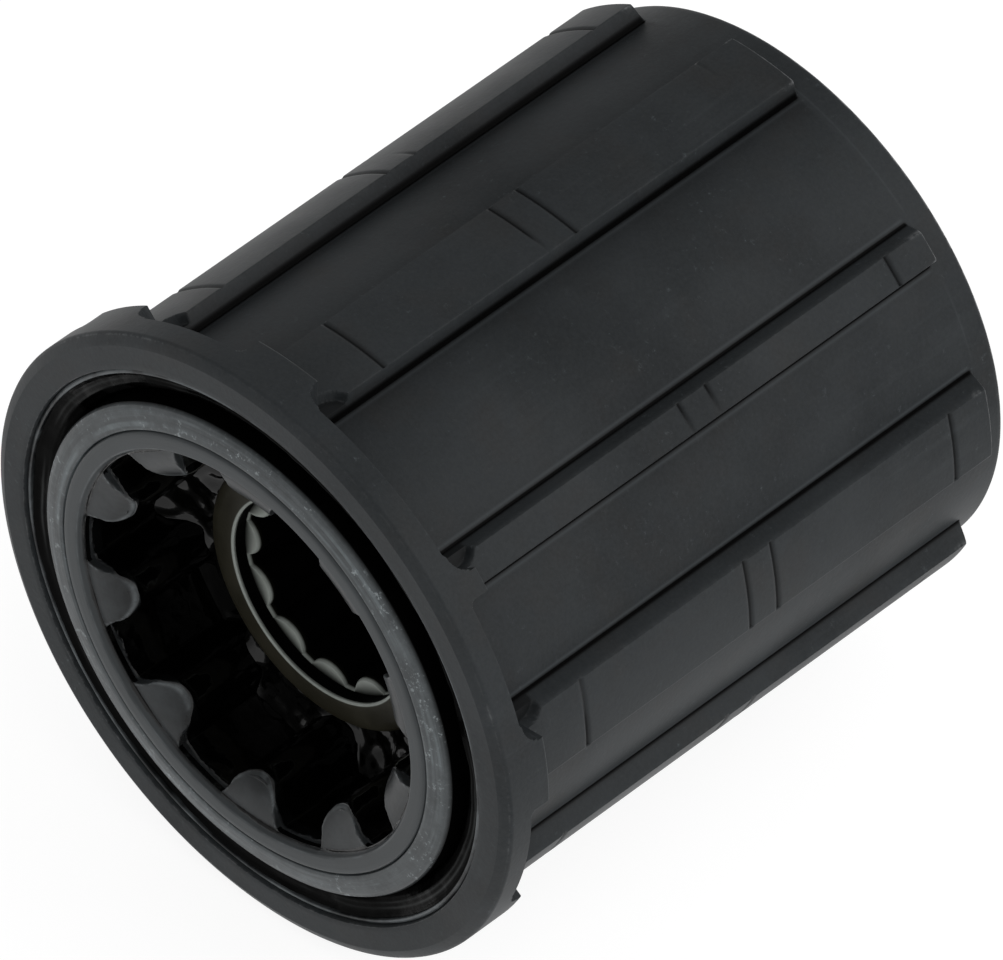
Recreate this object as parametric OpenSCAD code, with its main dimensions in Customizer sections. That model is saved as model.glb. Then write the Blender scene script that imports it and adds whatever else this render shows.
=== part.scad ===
// Splined sprocket carrier with one-way ratchet for a rear bicycle hub.
// The spin axis lies along +Y and points outboard, +Z is up.
// The origin is the middle of the inboard face that seats against the hub shell.

/* [Sprocket carrier] */
// Diameter over the outer ridges, mm
ridge_d = 34.9; // [34.5:0.1:35.3]
// Diameter at the bottom of the valleys between ridges, mm
valley_d = 32.6; // [32.2:0.1:33]
// Flange diameter, mm
flange_d = 37.3; // [36.5:0.1:38.5]
// Carrier length from flange front to outboard end, mm
carrier_len = 39.1; // [38:0.1:40]
// Number of ridge positions round the carrier
ridge_count = 9; // [9:1:9]
// Crest width of a full ridge, degrees
crest_deg = 15; // [13:0.5:17]
// Lean of the steep ridge flank from root to crest, degrees
flank_low_deg = 0.5; // [0.3:0.1:2.5]
// Lean of the easier ridge flank from root to crest, degrees
flank_high_deg = 2.1; // [0.3:0.1:2.5]
// Crest width of the one narrow ridge, degrees
narrow_deg = 6.2; // [5:0.2:8]

/* [Hub socket] */
// Round lobes inside the socket
lobe_count = 10; // [10:1:10]
// Socket radius between lobes, mm
socket_r = 11.93; // [11.8:0.01:12.1]
// Radius across the lobe tips, mm
lobe_tip_r = 9.6; // [9.4:0.1:9.9]
// Socket depth, mm
socket_depth = 7.7; // [7:0.1:8]

/* [Bearings and ratchet] */
// Ball diameter of the two carrier bearings, mm
ball_d = 3.175; // [3.175:0.001:3.175]
// Balls in each row
ball_count = 25; // [20:1:25]
// Ratchet teeth inside the carrier
tooth_count = 24; // [24:1:24]
// Pawls on the inner body
pawl_count = 3; // [3:1:3]

/* [Hidden] */

$fn = 96;

crest_r = ridge_d / 2;
valley_r = valley_d / 2;
flange_r = flange_d / 2;
ridge_pitch = 360 / ridge_count;
first_ridge = 7.6;            // middle of the first ridge, degrees from +X towards +Z
narrow_index = 1;             // which ridge position is the narrow one

flange_front = 0.5;           // flange front behind the seat face
flange_back = 2.45;           // flange back between the ridges
tab_back = 3.75;              // flange back on the ridges, the stop for the largest sprocket
tab_r = flange_r - 0.03;
pocket_y = 3.65;              // middle of the relief pockets at the ridge roots
pocket_r = 1.25;
pocket_out = 0.85;            // how far outside the ridge root the pocket middle lies, degrees
pocket_floor_r = 16.95;
edge_break = 0.12;            // chamfer at the outboard end and on the flange rim
flange_bevel = 0.26;          // depth of the shallow bevel round the flange front
flange_bevel_w = 0.6;
ridge_end = 37.75;
carrier_end = flange_front + carrier_len;
score_lines = [7.65, 19.65, 21.65, 34.95];
score_w = 0.28;
score_depth = 0.13;

recess_r = 16.55;             // seal recess in the flange
recess_floor = 1.55;
throat_r = 15.2;              // carrier bore round the inner body
bore_r = 13.45;               // carrier bore between the ball rows

ball_r = ball_d / 2;
ball_ring_r = 13.1;           // ball centre circle
groove_r = ball_r + 0.03;     // race groove section
row_in_y = 10.9;              // inboard ball row
row_out_y = 28.3;             // outboard ball row
race_wall_r = ball_ring_r + groove_r;

tooth_tip_r = 13.3;
tooth_root_r = 14.6;
tooth_y0 = 13.4;
tooth_y1 = 21.6;
tooth_pitch = 360 / tooth_count;
tooth_face = 23.6;            // driving face ahead of a pawl pivot, degrees towards +X

thread_r = 15.3;              // lockring thread, plain at its crest radius
thread_minor_r = 14.75;
thread_y0 = 35.2;
relief_r = 15.1;              // plain bore behind the thread

body_r = 12.3;                // inner body round the pawls
body_bore_r = 9.3;
body_end = 25.8;
web_back = 10.4;
web_hole_r = 8.1;
rim_r = 13.2;                 // inner body under the face ring
ring_r = 14.75;               // face ring outside
ring_back = 5.5;
shoulder_r = 14.6;
cup_thread_r = 10.5;
cup_thread_y = 21.7;

pawl_pivot_r = 11.1;
pawl_root_r = 1.0;
pawl_y0 = 14;
pawl_y1 = 21;
pawl_first = 75;              // first pawl pivot, degrees from +X towards +Z
pocket_gap = 0.05;
pawl_swing = 15;              // travel from pressed in, as drawn, out to a tooth, degrees

bolt_r = 8.0;
bolt_end_y = 5.4;
drive_count = 12;
drive_root_r = 6.0;
drive_tip_r = 5.1;
head_y = 10.9;
head_end = 14.6;
head_r = 9.1;

cup_rim_y = 34.5;             // outboard rim of the threaded cup
bowl_y = 34.0;                // widest level of the axle bearing race

// Turns a shape built round Z so that its axis runs along +Y.
module lay() { rotate([-90, 0, 0]) children(); }

// Places a shape at an angle measured from +X towards +Z.
module at_angle(a) { rotate([0, 0, -a]) children(); }

// A ring made from a half section given as radius and distance along the axis.
module turned(points) { lay() rotate_extrude() polygon(points); }

// A flat shape in the plane across the axis, thickened between two distances.
module slab(y0, y1) { lay() translate([0, 0, y0]) linear_extrude(height = y1 - y0) children(); }

module tube(r_out, r_in, y0, y1) {
    slab(y0, y1) difference() {
        circle(r = r_out);
        circle(r = r_in);
    }
}

module race_groove(y) {
    lay() translate([0, 0, y]) rotate_extrude()
        translate([ball_ring_r, 0]) circle(r = groove_r, $fn = 48);
}

// ---- sprocket carrier ----

// Crest edges of ridge i, in degrees. The narrow ridge keeps its lower edge.
function ridge_low(i) = first_ridge + i * ridge_pitch - crest_deg / 2;
function ridge_high(i) = ridge_low(i) + (i == narrow_index ? narrow_deg : crest_deg);
// How far a flank has leaned in at radius r, in degrees, measured from the crest edge.
function lean(r, flank) = flank * (r - crest_r) / (crest_r - valley_r);
function low_at(i, r) = ridge_low(i) + lean(r, flank_low_deg);
function high_at(i, r) = ridge_high(i) - lean(r, flank_high_deg);
function polar(r, a) = [r * cos(a), -r * sin(a)];

// One ridge in cross section, cut off at radius r.
module ridge_section(i, r) {
    r0 = valley_r - 0.6;
    r1 = flange_r + 0.6;
    intersection() {
        circle(r = r);
        polygon([[0, 0], polar(r0, low_at(i, r0)), polar(r1, low_at(i, r1)),
                 polar(r1, high_at(i, r1)), polar(r0, high_at(i, r0))]);
    }
}

module ridges() {
    slab(flange_front + 1, ridge_end) for (i = [0 : ridge_count - 1]) ridge_section(i, crest_r);
}

// The flange reaches further back where it meets a ridge.
module flange_tabs() {
    r0 = valley_r - 0.8;
    r1 = flange_r + 1;
    slab(flange_front + 1, tab_back) for (i = [0 : ridge_count - 1])
        intersection() {
            circle(r = tab_r);
            polygon([polar(r0, low_at(i, valley_r)), polar(r1, low_at(i, valley_r)),
                     polar(r1, high_at(i, valley_r)), polar(r0, high_at(i, valley_r))]);
        }
}

// Angle of a ridge's relief pocket: on the ridge's low side for ridges 2 to 5, else on its high side.
function pocket_at(i) =
    i >= 2 && i <= 5 ? low_at(i, valley_r) - pocket_out : high_at(i, valley_r) + pocket_out;

// A small round pocket cut at one corner of every ridge, next to the flange.
module root_pockets() {
    for (i = [0 : ridge_count - 1])
        lay() at_angle(pocket_at(i)) translate([pocket_floor_r, 0, pocket_y]) rotate([0, 90, 0])
            cylinder(h = 4, r = pocket_r, $fn = 32);
}

// Thin scored lines across the ridge crests.
module crest_scores() {
    for (y = score_lines)
        tube(crest_r + 1, crest_r - score_depth, y - score_w / 2, y + score_w / 2);
}

module flange_disc() {
    bevel_end = flange_front + flange_bevel;
    turned([[14, flange_front], [flange_r - flange_bevel_w, flange_front],
            [flange_r - edge_break, bevel_end],
            [flange_r, bevel_end + edge_break], [flange_r, flange_back], [14, flange_back]]);
}

module carrier_bore() {
    turned([[0, -1], [recess_r + 0.08, -1], [recess_r + 0.08, flange_front + 0.02],
            [recess_r, flange_front + 0.12], [recess_r, recess_floor], [throat_r, recess_floor],
            [throat_r, row_in_y - 2.6], [race_wall_r, row_in_y - 2.1], [race_wall_r, row_in_y],
            [bore_r, row_in_y], [bore_r, row_out_y], [race_wall_r, row_out_y],
            [race_wall_r, row_out_y + 2], [relief_r, row_out_y + 2.3], [relief_r, thread_y0],
            [thread_minor_r, thread_y0],
            [thread_minor_r, carrier_end - 0.5], [thread_r, carrier_end], [thread_r, 42], [0, 42]]);
}

// Saw teeth facing inwards: a steep driving face, a root, then a long ramp to the tip.
module ratchet_space() {
    slab(tooth_y0, tooth_y1) for (i = [0 : tooth_count - 1])
        at_angle(pawl_first - tooth_face + i * tooth_pitch)
            polygon([[0, 0], [tooth_root_r, 0],
                     polar(tooth_root_r, 4), polar(tooth_tip_r, 13), polar(tooth_tip_r, tooth_pitch)]);
    tube(tooth_tip_r, 10, tooth_y0, tooth_y1);
}

module cassette_carrier() {
    color([0.10, 0.105, 0.11]) difference() {
        union() {
            turned([[12, flange_front + 1], [valley_r, flange_front + 1],
                    [valley_r, carrier_end - edge_break],
                    [valley_r - edge_break, carrier_end], [12, carrier_end]]);
            flange_disc();
            flange_tabs();
            ridges();
        }
        carrier_bore();
        ratchet_space();
        race_groove(row_in_y);
        race_groove(row_out_y);
        root_pockets();
        crest_scores();
    }
}

// ---- inner body and its face ring ----

module socket_lobes() {
    lobe_r = 1.65;
    lay() translate([0, 0, 0.3]) for (i = [0 : lobe_count - 1])
        at_angle((i + 0.5) * 360 / lobe_count) translate([lobe_tip_r + lobe_r, 0, 0])
            cylinder(h = socket_depth, r = lobe_r, $fn = 48);
}

// Cone that slopes the front of every lobe and eases the socket edge.
module socket_lead() {
    turned([[0, -1], [socket_r + 0.25, -1], [socket_r + 0.25, 0], [socket_r - 0.05, 0.45],
            [lobe_tip_r - 0.6, 1.6], [0, 1.6]]);
}

// Room for a pawl pressed in and for its spring.
module pawl_pocket_section() {
    translate([pawl_pivot_r, 0]) circle(r = pawl_root_r + pocket_gap, $fn = 48);
    polygon([[pawl_pivot_r, 0.25], [14, 0.25], [14, 6.4], [10.75, 5.75], [9.95, 0.3]]);
}

module pawl_pockets() {
    slab(pawl_y0 - 0.06, pawl_y1 + 0.06) for (i = [0 : pawl_count - 1])
        at_angle(pawl_first + i * 360 / pawl_count) pawl_pocket_section();
}

module pawl_carrier() {
    color([0.13, 0.135, 0.14]) difference() {
        union() {
            difference() {
                turned([[0, 0], [rim_r - 0.15, 0], [rim_r, 0.15], [rim_r, ring_back],
                        [shoulder_r, ring_back],
                        [shoulder_r, 8], [ball_ring_r, 9], [ball_ring_r, row_in_y], [body_r, row_in_y],
                        [body_r, body_end], [0, body_end]]);
                slab(-1, socket_depth) circle(r = socket_r);
            }
            intersection() {
                socket_lobes();
                slab(0, socket_depth + 0.2) circle(r = socket_r + 0.2);
            }
        }
        socket_lead();
        slab(socket_depth - 1, web_back + 1) circle(r = web_hole_r);
        slab(web_back, cup_thread_y) circle(r = body_bore_r);
        slab(cup_thread_y - 0.01, body_end + 1) circle(r = cup_thread_r + 0.02);
        race_groove(row_in_y);
        pawl_pockets();
    }
}

// Hardened ring pressed on the rim of the inner body; the seal lip rubs on it.
module inboard_ring() {
    color([0.22, 0.24, 0.26]) turned([[rim_r, 0.14], [rim_r + 0.25, 0.06], [ring_r - 0.3, 0.2],
        [ring_r, 0.45], [ring_r, ring_back - 0.2], [ring_r - 0.2, ring_back], [rim_r, ring_back]]);
}

// ---- inboard seal ----

module seal_case() {
    color([0.16, 0.17, 0.18]) turned([[recess_r, 0.8], [recess_r, recess_floor], [15.6, recess_floor],
        [15.6, 1.35], [16.25, 1.35], [16.25, 0.7], [16.45, 0.7]]);
}

module inboard_seal() {
    color([0.03, 0.03, 0.03]) turned([[16.25, 1.35], [15.6, 1.35], [15.12, 1.54], [14.95, 2.4],
        [14.79, 2.42], [14.79, 2.1], [14.95, 1.5], [15.35, 1.1], [16.0, 1.05], [16.25, 0.85]]);
}

// ---- fixing bolt ----

module fixing_bolt() {
    color([0.30, 0.29, 0.22]) difference() {
        turned([[0, bolt_end_y + 0.12], [6.1, bolt_end_y], [bolt_r - 0.25, bolt_end_y + 0.2],
                [bolt_r, bolt_end_y + 0.5], [bolt_r, head_y], [head_r - 0.3, head_y],
                [head_r, head_y + 0.3], [head_r, head_end - 0.5], [head_r - 0.5, head_end],
                [0, head_end]]);
        slab(bolt_end_y - 1, bolt_end_y + 0.85) circle(r = drive_root_r + 0.1);
        slab(bolt_end_y, head_end + 1) difference() {
            circle(r = drive_root_r);
            for (i = [0 : drive_count - 1]) rotate(i * 360 / drive_count)
                translate([drive_tip_r + 1.35, 0]) circle(r = 1.35, $fn = 32);
        }
    }
}

module bolt_washer() {
    color([0.25, 0.25, 0.24]) tube(body_bore_r - 0.15, web_hole_r, web_back, head_y);
}

// ---- ball rows ----

module ball_row(y) {
    lay() for (i = [0 : ball_count - 1])
        at_angle(i * 360 / ball_count) translate([ball_ring_r, 0, y]) sphere(r = ball_r, $fn = 32);
}

module inboard_balls() { color([0.75, 0.76, 0.78]) ball_row(row_in_y); }
module outboard_balls() { color([0.75, 0.76, 0.78]) ball_row(row_out_y); }

// ---- pawls, pressed in as when the carrier overruns them, and their springs ----

module at_pawl(i) { lay() at_angle(pawl_first + i * 360 / pawl_count) children(); }

module pawl(i) {
    color([0.42, 0.43, 0.45]) at_pawl(i) translate([pawl_pivot_r, 0, pawl_y0]) rotate(pawl_swing)
        linear_extrude(height = pawl_y1 - pawl_y0) {
            circle(r = pawl_root_r, $fn = 48);
            polygon([[0.9, 0.1], [2.4, 4.3], [2.24, 4.86], [1.12, 4.45], [-0.75, 0.6]]);
        }
}

// A thin strip folded back under the pawl, pressing it outwards.
module pawl_spring(i) {
    color([0.6, 0.61, 0.62]) at_pawl(i) translate([0, 0, 15.5]) linear_extrude(height = 4)
        polygon([[10.12, 1.3], [10.68, 5.2], [10.8, 5.26], [10.82, 3.62], [10.7, 3.6], [10.68, 4.95],
                 [10.24, 1.28]]);
}

module pawl_1() { pawl(0); }
module pawl_2() { pawl(1); }
module pawl_3() { pawl(2); }
module pawl_spring_1() { pawl_spring(0); }
module pawl_spring_2() { pawl_spring(1); }
module pawl_spring_3() { pawl_spring(2); }

// ---- outboard end ----

module shim_thin() { color([0.6, 0.6, 0.6]) tube(11.4, 10.6, body_end, body_end + 0.15); }
module shim_thick() { color([0.55, 0.55, 0.55]) tube(11.4, 10.6, body_end + 0.15, body_end + 0.4); }

// Screws into the inner body: its outside is the outboard cone, its inside the axle bearing race.
module outboard_cup() {
    back = body_end + 0.4;
    color([0.18, 0.185, 0.19]) difference() {
        turned([[body_bore_r, cup_thread_y + 0.1], [cup_thread_r - 0.3, cup_thread_y + 0.1],
                [cup_thread_r, cup_thread_y + 0.4], [cup_thread_r, back], [11.4, back],
                [11.4, row_out_y], [ball_ring_r, row_out_y], [ball_ring_r, 30.2], [13.4, 30.5],
                [13.7, 31.9], [13.7, cup_rim_y], [body_bore_r, cup_rim_y]]);
        race_groove(row_out_y);
        lay() translate([0, 0, bowl_y]) rotate_extrude() translate([9.4, 0]) circle(r = 3.3, $fn = 64);
        slab(bowl_y, cup_rim_y + 1) circle(r = 12.7);
        slab(bowl_y - 3.2, cup_rim_y + 1) circle(r = 9.4);
        for (a = [30, 210]) lay() at_angle(a) translate([12, -1.5, cup_rim_y - 1]) cube([3, 3, 2]);
    }
}

module outboard_seal() {
    color([0.03, 0.03, 0.03]) turned([[13.4, 30.5], [13.9, 30.5], [relief_r - 0.05, 31],
        [relief_r - 0.05, 31.3], [14.3, 31.4], [13.62, 31.5]]);
}

// Pressed steel cap over the axle bearing, with a rubber lip round its hole.
module dust_cap() {
    top = cup_rim_y + 0.35;
    color([0.2, 0.2, 0.2]) turned([[12.7, cup_rim_y - 0.45], [12.7, top], [8.4, top],
        [8.4, top - 0.3], [12.35, top - 0.3], [12.35, cup_rim_y - 0.45]]);
}

module dust_cap_seal() {
    top = cup_rim_y + 0.35;
    color([0.03, 0.03, 0.03]) turned([[8.4, top - 0.3], [8.4, top], [8.9, top], [8.9, top + 0.25],
        [8.0, top + 0.2], [7.6, top - 0.1], [7.6, top - 0.25]]);
}

cassette_carrier();
pawl_carrier();
inboard_ring();
inboard_seal();
seal_case();
fixing_bolt();
bolt_washer();
inboard_balls();
outboard_balls();
pawl_1();
pawl_2();
pawl_3();
pawl_spring_1();
pawl_spring_2();
pawl_spring_3();
shim_thin();
shim_thick();
outboard_cup();
outboard_seal();
dust_cap();
dust_cap_seal();
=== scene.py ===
import bpy
import math
import numpy as np
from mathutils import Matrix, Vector


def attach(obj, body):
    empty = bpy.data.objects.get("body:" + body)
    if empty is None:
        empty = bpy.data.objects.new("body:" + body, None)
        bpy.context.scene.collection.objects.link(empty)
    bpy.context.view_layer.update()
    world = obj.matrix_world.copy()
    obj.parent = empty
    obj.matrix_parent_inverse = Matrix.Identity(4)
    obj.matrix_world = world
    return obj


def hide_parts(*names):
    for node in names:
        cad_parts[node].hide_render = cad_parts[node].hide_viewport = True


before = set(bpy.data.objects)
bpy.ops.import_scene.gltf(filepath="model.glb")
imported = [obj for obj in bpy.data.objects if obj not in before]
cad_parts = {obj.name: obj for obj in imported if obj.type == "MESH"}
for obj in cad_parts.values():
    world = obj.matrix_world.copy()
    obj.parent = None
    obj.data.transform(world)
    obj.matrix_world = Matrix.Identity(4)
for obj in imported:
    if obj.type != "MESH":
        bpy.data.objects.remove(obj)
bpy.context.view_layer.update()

# All sizes below are in millimetres, in the frame of the CAD: +Y is the spin axis, pointing outboard.
MM = 0.001
TURN = 2 * math.pi

# Sprocket carrier, outside. Ridges are numbered by their angle from +X towards +Z.
CREST_R = 17.45
VALLEY_R = 16.3
FLANGE_R = 18.65
RIDGE_COUNT = 9
NARROW = 1
FIRST_RIDGE = 7.6
# Widths of the crests in degrees, then of the flanks on the sides of smaller and larger angle
CREST_DEG = 15
NARROW_DEG = 6.2
FLANK_LOW = 0.5
FLANK_HIGH = 2.1
# Degrees added to the low flank so that its top edge is round, not knife-sharp
FLANK_ROUND = 0.5
# Radius at which angles are turned into lengths along the surface
UNROLL_R = 16.9
# How strong and how wide, in mm, the painted shadow beside each ridge's low side is: the ridge's shadow
# painted dark into the valley
LOW_SIDE_SHADE_DEPTH = (0.05, 0.1, 0.45, 0.8, 0.4, 0.3, 0.2, 0.2, 0.1)
LOW_SIDE_SHADE_SPREAD = (1.0, 0.8, 1.7, 0.8, 1.0, 1.0, 1.0, 1.0, 1.0)
FLANGE_FRONT = 0.5
FLANGE_BACK = 2.45
TAB_BACK = 3.75
# A round relief pocket stands beside each ridge, just behind the flange
POCKET_Y = 3.65
POCKET_R = 1.25
POCKET_OUT = 0.25
# Ridges whose pocket lies on the side of larger angle
HIGH_POCKETS = (0, 1, 6, 7, 8)
EDGE_BREAK = 0.12
BEVEL_W = 0.6
RIDGE_END = 37.75
END_BREAK = 0.28
CARRIER_END = 39.6
# Fine lines scored round the crests
SCORES = (7.65, 19.65, 21.65, 34.95)
SCORE_W = 0.13
SCORE_DEPTH = 0.12
ROOT_DEPTH = 0.1

# Sprocket carrier, inside
RECESS_R = 16.55
RECESS_FLOOR = 1.55
THROAT_R = 15.2
THREAD_MINOR = 14.75
THREAD_MAJOR = 15.25
THREAD_START = 35.2
RELIEF_R = 15.1
BORE_R = 13.45
TOOTH_START = 13.4
TOOTH_END = 21.6
TOOTH_TIP = 13.3
TOOTH_ROOT = 14.6
TOOTH_COUNT = 24
# Degrees: where a tooth's ramp starts after its face, how far it runs, and where the faces stand
TOOTH_RAMP_START = 4
TOOTH_RAMP = 9
PAWL_FIRST = 75
TOOTH_FACE = PAWL_FIRST - 23.6
BALL_RING = 13.1
GROOVE = 1.6175
ROW_IN = 10.9
ROW_OUT = 28.3

# Inner body
SOCKET_R = 11.93
LOBE_COUNT = 10
LOBE_R = 1.65
LOBE_TIP = 9.6
SOCKET_FLOOR = 7.7
MOUTH_FLARE = 0.25
MOUTH_SLOPE = 0.6
NOSE_START = 0.4
NOSE_LENGTH = 1.9
NOSE_DEPTH = 2.4
RIM_R = 13.2
RING_R = 14.75
RING_BACK = 5.5
SHOULDER_R = 14.6

# Fixing bolt
DRIVE_COUNT = 12
DRIVE_ROOT = 6.0
DRIVE_BUMP = 1.35
DRIVE_TIP = 5.1
DRIVE_MOUTH = 6.08
BOLT_R = 8.0
BOLT_HOLE = 8.1
BOLT_HEAD = 10.9
BOLT_HEAD_R = 9.1
BOLT_HEAD_END = 14.6
BOLT_END = 5.4

# Inner body round the pawls
BODY_R = 12.3
BODY_END = 25.8
BODY_BORE = 10.52
CUP_BORE = 9.3
PAWL_COUNT = 3
PAWL_R = 11.1
PAWL_ROOT_R = 1.05
SEAT_START = 13.94
SEAT_END = 21.06
SEAT_DEG = 5.4
# The sloping floor beside each seat: degrees it spans, a point on it and its slope
FLOOR_DEG = (2, 35)
FLOOR_POINT = (9.95, 0.3)
FLOOR_SLOPE = 5.45 / 0.8

# Camera, in degrees and millimetres. The aim point is on the spin axis, then moved in the picture
# by so much to the right and up; both moves are negative here.
CAMERA_AZIMUTH = 44.58
CAMERA_ELEVATION = 44.26
CAMERA_DISTANCE = 1005.95
CAMERA_LENS = 695.0
AIM_Y = 19.8
AIM_RIGHT = -0.56
AIM_UP = -0.854


# ---------------------------------------------------------------- shape helpers

def spaced(a, b, step):
    """Even values from a to b, both ends kept, no further apart than step."""
    return np.linspace(a, b, max(2, int(math.ceil(abs(b - a) / step - 1e-9)) + 1))


def smooth_step(u):
    """0 below 0, 1 above 1 and a smooth rise between them."""
    u = np.clip(u, 0, 1)
    return u * u * (3 - 2 * u)


def soft_max(a, b, k):
    """The larger of a and b, rounded where they cross."""
    h = np.clip(0.5 + 0.5 * (a - b) / k, 0, 1)
    return b + (a - b) * h + k * h * (1 - h)


def soft_min(a, b, k):
    """The smaller of a and b, rounded where they cross."""
    return -soft_max(-a, -b, k)


def wave_noise(x, y, z, seed, octaves=4, first=0.5):
    """Smooth repeatable noise from -1 to 1, as a sum of waves in random directions."""
    draw = np.random.default_rng(seed)
    total = np.zeros(np.broadcast(x, y, z).shape)
    weight, norm, freq = 1.0, 0.0, first
    for _ in range(octaves):
        for _ in range(6):
            d = draw.normal(size=3)
            d *= freq * TURN / np.linalg.norm(d)
            total = total + weight * np.sin(d[0] * x + d[1] * y + d[2] * z + draw.uniform(0, TURN))
        norm += weight * 6 ** 0.5
        weight *= 0.5
        freq *= 2.1
    return total / norm


def mesh_from_grid(name, points, values, sharp_deg):
    """A closed mesh of quads from points[row, column]: rows and columns both run round in a circle."""
    rows, cols = points.shape[:2]
    i = np.arange(rows)[:, None]
    j = np.arange(cols)[None, :]
    i2, j2 = (i + 1) % rows, (j + 1) % cols
    quads = np.stack([i * cols + j, i * cols + j2, i2 * cols + j2, i2 * cols + j], -1).reshape(-1, 4)
    flat = points.reshape(-1, 3)
    a, b, c, d = (flat[quads[:, k]] for k in range(4))
    volume = (np.einsum("ij,ij->i", a, np.cross(b, c)) + np.einsum("ij,ij->i", a, np.cross(c, d))).sum()
    if volume < 0:
        quads = quads[:, ::-1]
    mesh = bpy.data.meshes.new(name)
    mesh.vertices.add(len(flat))
    mesh.vertices.foreach_set("co", (flat * MM).astype(np.float32).ravel())
    mesh.loops.add(quads.size)
    mesh.loops.foreach_set("vertex_index", quads.astype(np.int32).ravel())
    mesh.polygons.add(len(quads))
    mesh.polygons.foreach_set("loop_start", np.arange(0, quads.size, 4, dtype=np.int32))
    mesh.update(calc_edges=True)
    mesh.validate()
    mesh.polygons.foreach_set("use_smooth", np.ones(len(mesh.polygons), bool))
    for key, data in values.items():
        layer = mesh.attributes.new(key, "FLOAT", "POINT")
        layer.data.foreach_set("value", np.broadcast_to(data, (rows, cols)).astype(np.float32).ravel())
    mesh.set_sharp_from_angle(angle=math.radians(sharp_deg))
    obj = bpy.data.objects.new(name, mesh)
    bpy.context.scene.collection.objects.link(obj)
    return obj


def lathe_points(angles, radii, heights):
    """Points of a turned shape; radii and heights are [row, column] or [row]."""
    radii, heights = np.atleast_1d(radii), np.atleast_1d(heights)
    radii = radii[:, None] if radii.ndim == 1 else radii
    heights = heights[:, None] if heights.ndim == 1 else heights
    radii, heights = np.broadcast_arrays(radii + 0 * angles, heights + 0 * angles)
    return np.stack([radii * np.cos(angles), heights, radii * np.sin(angles)], -1)


def outline(corners, step, bevel):
    """A closed outline of (radius, distance) corners, each cut by a small bevel and split to step."""
    corners = [np.array(c, float) for c in corners]
    points = []
    for k, here in enumerate(corners):
        before, after = corners[k - 1], corners[(k + 1) % len(corners)]
        for other in (before, after):
            reach = np.linalg.norm(other - here)
            points.append(here + (other - here) * min(bevel, reach * 0.3) / reach)
    full = []
    for k, p in enumerate(points):
        q = points[(k + 1) % len(points)]
        n = max(1, int(math.ceil(np.linalg.norm(q - p) / step)))
        full += [p + (q - p) * m / n for m in range(n)]
    return np.array(full)


class Shell:
    """A closed turned shape built row by row on shared angles, each row with its own paint values."""

    def __init__(self, angles, *names):
        self.angles = angles
        self.radii = []
        self.heights = []
        self.values = {name: [] for name in names}

    def row(self, r, y, **values):
        """Add a row; r, y and the values may each be one number or one per angle."""
        ones = np.ones_like(self.angles)
        self.radii.append(r * ones)
        self.heights.append(y * ones)
        for name, rows in self.values.items():
            rows.append(values.get(name, 0.0) * ones)

    def mesh(self, name, sharp_deg):
        """The finished object."""
        points = lathe_points(self.angles, np.array(self.radii), np.array(self.heights))
        values = {key: np.array(rows) for key, rows in self.values.items()}
        return mesh_from_grid(name, points, values, sharp_deg)


def turned(name, corners, columns=256, step=0.6, bevel=0.05, sharp=40, grease_from=None):
    """A turned ring from its section corners, with the grease value set where y is past grease_from; the
    face ring and seal case use it for painted shade.
    """
    angles = np.linspace(0, TURN, columns, endpoint=False)
    profile = outline(corners, step, bevel)
    points = lathe_points(angles, profile[:, 0], profile[:, 1])
    values = {}
    if grease_from is not None:
        values["grease"] = smooth_step((profile[:, 1:2] - grease_from) / 0.12)
    return mesh_from_grid(name, points, values, sharp)


def stand_for(obj, body, node, material):
    """Show obj in place of a CAD node, riding on that node's body."""
    obj.data.materials.append(material)
    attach(obj, body)
    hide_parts(node)


# ---------------------------------------------------------------- materials

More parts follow.
